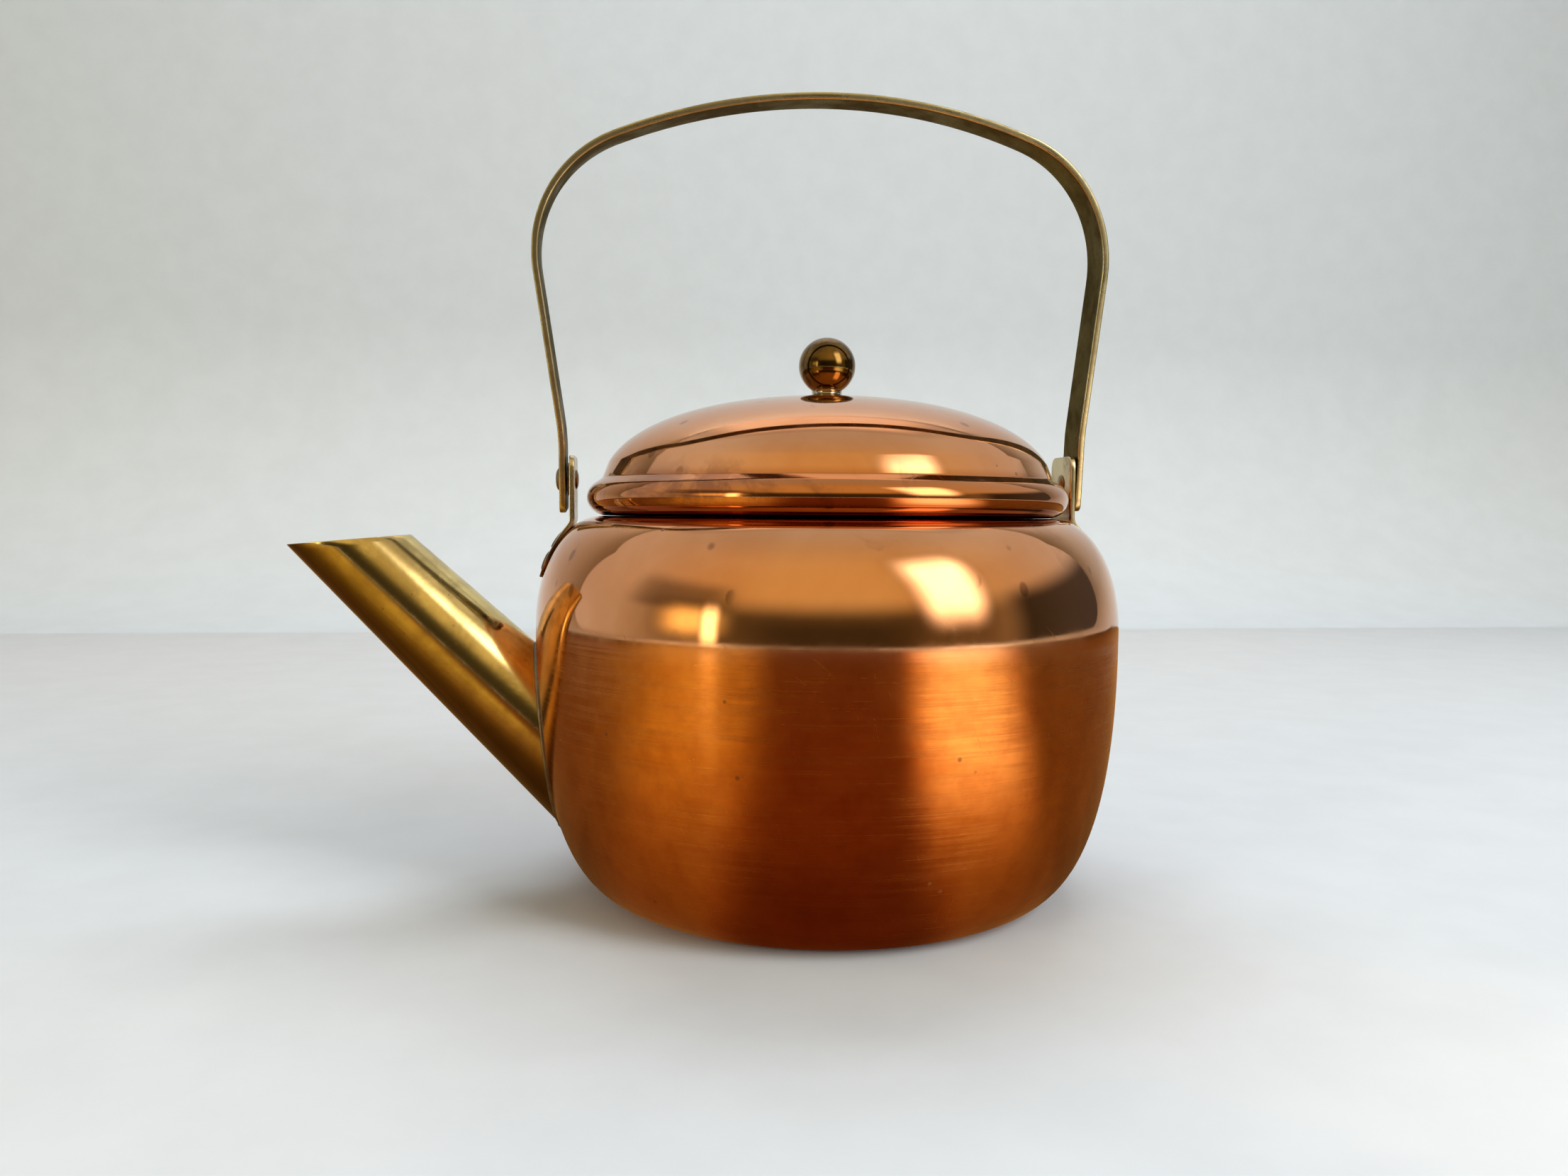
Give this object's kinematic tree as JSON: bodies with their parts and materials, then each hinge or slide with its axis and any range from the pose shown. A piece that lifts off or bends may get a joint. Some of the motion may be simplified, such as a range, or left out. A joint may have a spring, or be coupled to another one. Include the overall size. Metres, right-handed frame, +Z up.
{
  "type": "kettle",
  "caption": "Small round copper kettle with a straight slanted brass spout, a domed lift-off lid with a ball knob, and a swinging brass strap handle.",
  "frame": {"origin": "centre of the flat base, where it meets the table", "axes": "+Z up; the spout points along -X; the handle's pivots lie along X"},
  "size_m": [0.1813, 0.1286, 0.1725],
  "materials": {
    "copper": "polished copper, satin and lightly spun lower down",
    "tinned": "tin-coated copper, dull",
    "brass": "polished yellow brass with fine streaks",
    "old_brass": "tarnished brass with rubbed edges",
    "dark_brass": "dark antique brass, polished",
    "solder": "dull grey soft solder"
  },
  "bodies": {
    "kettle": {"body_shell": "copper", "spout": "brass", "spout_solder_seam": "solder", "left_lug": "old_brass", "right_lug": "old_brass", "left_lug_rivet_upper": "old_brass", "left_lug_rivet_lower": "old_brass", "right_lug_rivet_upper": "old_brass", "right_lug_rivet_lower": "old_brass", "left_pivot_rivet": "dark_brass", "left_pivot_washer": "old_brass", "right_pivot_rivet": "dark_brass", "right_pivot_washer": "old_brass"},
    "lid": {"lid_dome": "copper", "lid_collar": "tinned", "knob": "dark_brass", "knob_stud": "dark_brass", "knob_washer": "old_brass", "knob_nut": "old_brass"},
    "handle": {"handle_strap": "old_brass"}
  },
  "joints": [
    {"name": "lid_lift", "type": "slide", "parent": "kettle", "child": "lid", "axis": [0, 0, 1], "range_m": [0, 0.042]},
    {"name": "handle_swing", "type": "hinge", "parent": "kettle", "child": "handle", "pos_m": [0, 0, 0.0905], "axis": [1, 0, 0], "range_deg": [-121.5, 108.5]}
  ]
}
